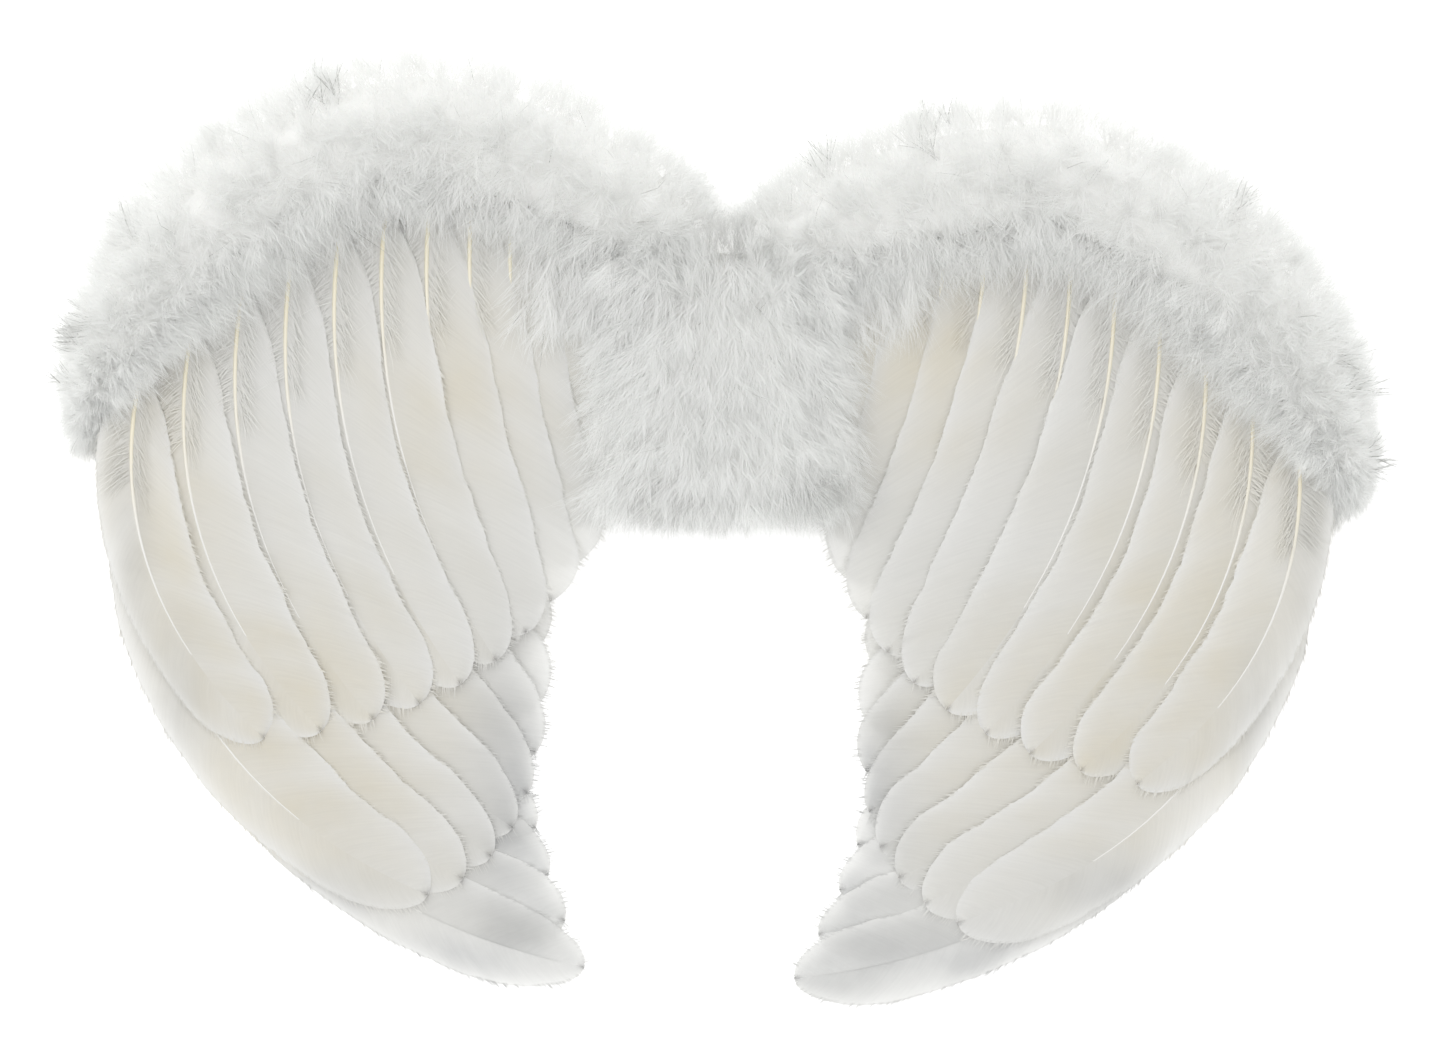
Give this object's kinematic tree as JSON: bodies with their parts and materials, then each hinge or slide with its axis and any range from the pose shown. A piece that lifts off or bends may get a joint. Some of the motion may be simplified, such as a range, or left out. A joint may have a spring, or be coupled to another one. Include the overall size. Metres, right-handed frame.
{
  "type": "feather costume wings",
  "caption": "White angel costume wings: long curved feathers in rows on a card back, a fluffy marabou trim and middle, and elastic shoulder loops.",
  "frame": {"origin": "middle of the flat back pad that lies against the wearer's back, on its outer face", "axes": "+Z out of the feathered face, +Y towards the tops of the wings, +X towards the wing on the right of the picture"},
  "size_m": [0.6081, 0.4422, 0.0501],
  "materials": {
    "feather": "soft sheen",
    "marabou": "fluffy",
    "card": "matte",
    "elastic": "woven"
  },
  "bodies": {
    "root": {"backing_board": "card", "covert_left_1": "feather", "covert_left_10": "feather", "covert_left_2": "feather", "covert_left_3": "feather", "covert_left_4": "feather", "covert_left_5": "feather", "covert_left_6": "feather", "covert_left_7": "feather", "covert_left_8": "feather", "covert_left_9": "feather", "covert_right_1": "feather", "covert_right_10": "feather", "covert_right_2": "feather", "covert_right_3": "feather", "covert_right_4": "feather", "covert_right_5": "feather", "covert_right_6": "feather", "covert_right_7": "feather", "covert_right_8": "feather", "covert_right_9": "feather", "marabou_centre": "marabou", "marabou_trim_left": "marabou", "marabou_trim_right": "marabou", "primary_left_1": "feather", "primary_left_2": "feather", "primary_left_3": "feather", "primary_left_4": "feather", "primary_left_5": "feather", "primary_left_6": "feather", "primary_left_7": "feather", "primary_left_8": "feather", "primary_right_1": "feather", "primary_right_2": "feather", "primary_right_3": "feather", "primary_right_4": "feather", "primary_right_5": "feather", "primary_right_6": "feather", "primary_right_7": "feather", "primary_right_8": "feather", "secondary_left_1": "feather", "secondary_left_2": "feather", "secondary_left_3": "feather", "secondary_left_4": "feather", "secondary_left_5": "feather", "secondary_left_6": "feather", "secondary_left_7": "feather", "secondary_left_8": "feather", "secondary_left_9": "feather", "secondary_right_1": "feather", "secondary_right_2": "feather", "secondary_right_3": "feather", "secondary_right_4": "feather", "secondary_right_5": "feather", "secondary_right_6": "feather", "secondary_right_7": "feather", "secondary_right_8": "feather", "secondary_right_9": "feather", "shoulder_strap_left": "elastic", "shoulder_strap_right": "elastic"}
  },
  "joints": []
}
